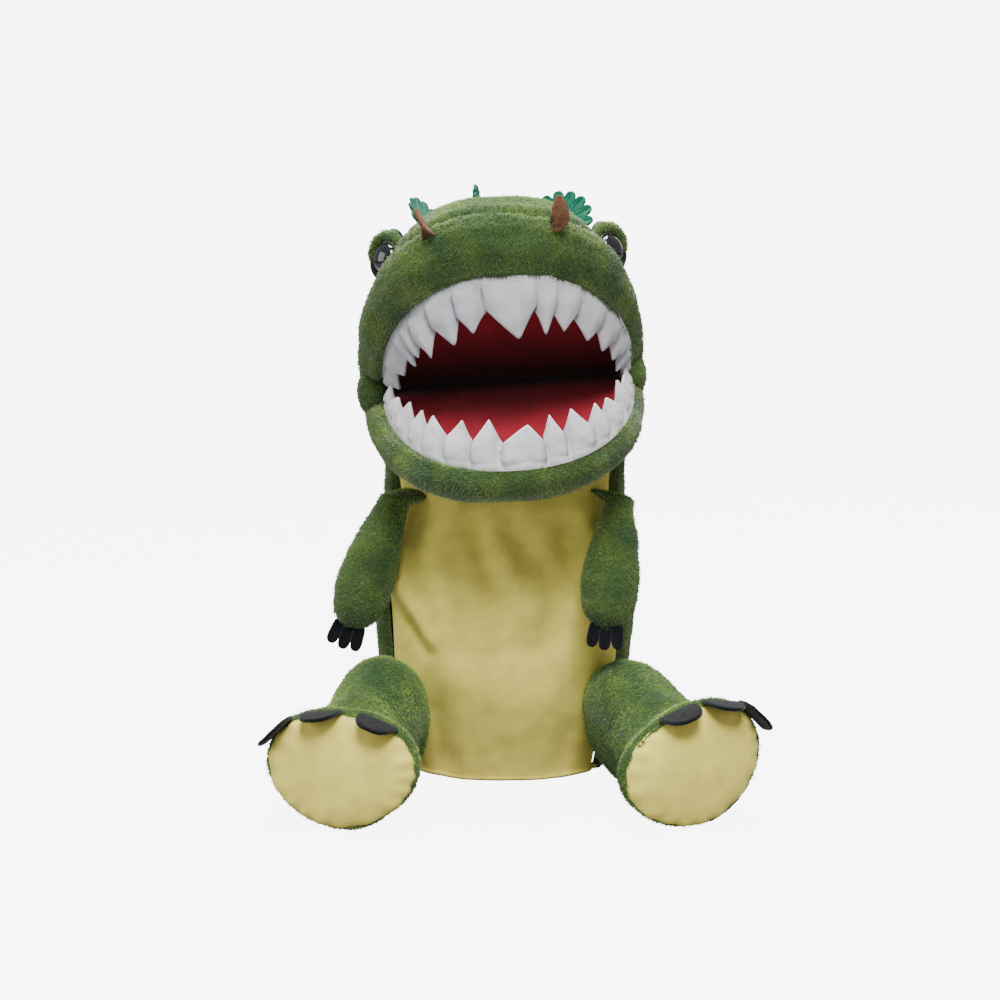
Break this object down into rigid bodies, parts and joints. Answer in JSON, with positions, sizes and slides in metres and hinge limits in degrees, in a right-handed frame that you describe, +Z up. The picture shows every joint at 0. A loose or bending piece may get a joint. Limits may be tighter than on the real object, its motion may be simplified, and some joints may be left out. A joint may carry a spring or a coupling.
{
  "type": "moving mouth puppet",
  "caption": "Sitting plush dinosaur hand puppet with a sleeve for the hand and a mouth that opens and closes on finger and thumb pockets.",
  "frame": {"origin": "middle of the puppet's footprint, on the surface it sits on", "axes": "+Z up, the face looks along -Y, the puppet's own left side is at +X"},
  "size_m": [0.2716, 0.3146, 0.3494],
  "materials": {
    "plush_green": "green plush, short nap",
    "velour_yellow": "yellow velour",
    "felt_red": "red felt",
    "felt_white": "white felt",
    "felt_teal": "teal felt",
    "felt_brown": "brown felt",
    "felt_black": "black felt",
    "eye_plastic": "gloss",
    "washer_plastic": "matt",
    "lining_grey": "plain woven lining",
    "fibre_fill": "loose polyester fibre",
    "board_grey": "stiff board",
    "label_white": "woven label, blank"
  },
  "bodies": {
    "torso": {"belly_panel": "velour_yellow", "body_back": "plush_green", "sleeve_lining": "lining_grey", "care_label": "label_white"},
    "neck": {"throat_panel": "velour_yellow", "neck_cover": "plush_green"},
    "head": {"head_cover": "plush_green", "head_filling": "fibre_fill", "upper_palate": "felt_red", "upper_mouth_board": "board_grey", "finger_pocket": "lining_grey", "upper_teeth": "felt_white", "crest_left": "felt_teal", "crest_right": "felt_teal", "crest_middle": "felt_teal", "eye_patch_left": "felt_black", "eye_left": "eye_plastic", "eye_washer_left": "washer_plastic", "brow_left": "plush_green", "horn_left": "felt_brown", "eye_patch_right": "felt_black", "eye_right": "eye_plastic", "eye_washer_right": "washer_plastic", "brow_right": "plush_green", "horn_right": "felt_brown"},
    "jaw": {"jaw_cover": "plush_green", "jaw_filling": "fibre_fill", "lower_palate": "felt_red", "lower_mouth_board": "board_grey", "thumb_pocket": "lining_grey", "lower_teeth": "felt_white"},
    "tail": {"tail_cover": "plush_green", "tail_filling": "fibre_fill"},
    "arm_left": {"arm_cover_left": "plush_green", "arm_filling_left": "fibre_fill", "arm_claw_left_1": "felt_black", "arm_claw_left_2": "felt_black", "arm_claw_left_3": "felt_black"},
    "leg_left": {"leg_cover_left": "plush_green", "leg_filling_left": "fibre_fill", "sole_left": "velour_yellow", "leg_claw_left_1": "felt_black", "leg_claw_left_2": "felt_black", "leg_claw_left_3": "felt_black"},
    "arm_right": {"arm_cover_right": "plush_green", "arm_filling_right": "fibre_fill", "arm_claw_right_1": "felt_black", "arm_claw_right_2": "felt_black", "arm_claw_right_3": "felt_black"},
    "leg_right": {"leg_cover_right": "plush_green", "leg_filling_right": "fibre_fill", "sole_right": "velour_yellow", "leg_claw_right_1": "felt_black", "leg_claw_right_2": "felt_black", "leg_claw_right_3": "felt_black"}
  },
  "joints": [
    {"name": "neck_turn", "type": "hinge", "parent": "torso", "child": "neck", "pos_m": [-0.00525, 0.00034, 0.196], "axis": [0, 0, 1], "range_deg": [-20, 20]},
    {"name": "head_nod", "type": "hinge", "parent": "neck", "child": "head", "pos_m": [-0.00525, 0.00034, 0.196], "axis": [1, 0, 0], "range_deg": [-15, 3], "deforming": ["neck_cover", "throat_panel"]},
    {"name": "mouth_open", "type": "hinge", "parent": "head", "child": "jaw", "pos_m": [-0.00675, -0.02566, 0.233], "axis": [0.997, 0.0348, 0.0698], "range_deg": [-45, 3], "deforming": ["upper_teeth", "lower_teeth"]},
    {"name": "shoulder_left", "type": "hinge", "parent": "torso", "child": "arm_left", "pos_m": [0.06075, -0.04566, 0.161], "axis": [0.9903, 0, -0.1392], "range_deg": [-60, 0]},
    {"name": "shoulder_right", "type": "hinge", "parent": "torso", "child": "arm_right", "pos_m": [-0.07125, -0.04566, 0.161], "axis": [0.9397, 0, -0.342], "range_deg": [-60, 0]},
    {"name": "hip_left", "type": "hinge", "parent": "torso", "child": "leg_left", "pos_m": [0.05875, -0.04366, 0.001], "axis": [0.9135, 0.4067, 0], "range_deg": [0, 45]},
    {"name": "hip_right", "type": "hinge", "parent": "torso", "child": "leg_right", "pos_m": [-0.06925, -0.04366, 0.001], "axis": [0.9659, -0.2588, 0], "range_deg": [0, 45]},
    {"name": "tail_swing", "type": "hinge", "parent": "torso", "child": "tail", "pos_m": [-0.00525, 0.04234, 0.02], "axis": [0, 0, 1], "range_deg": [-10, 10]}
  ]
}
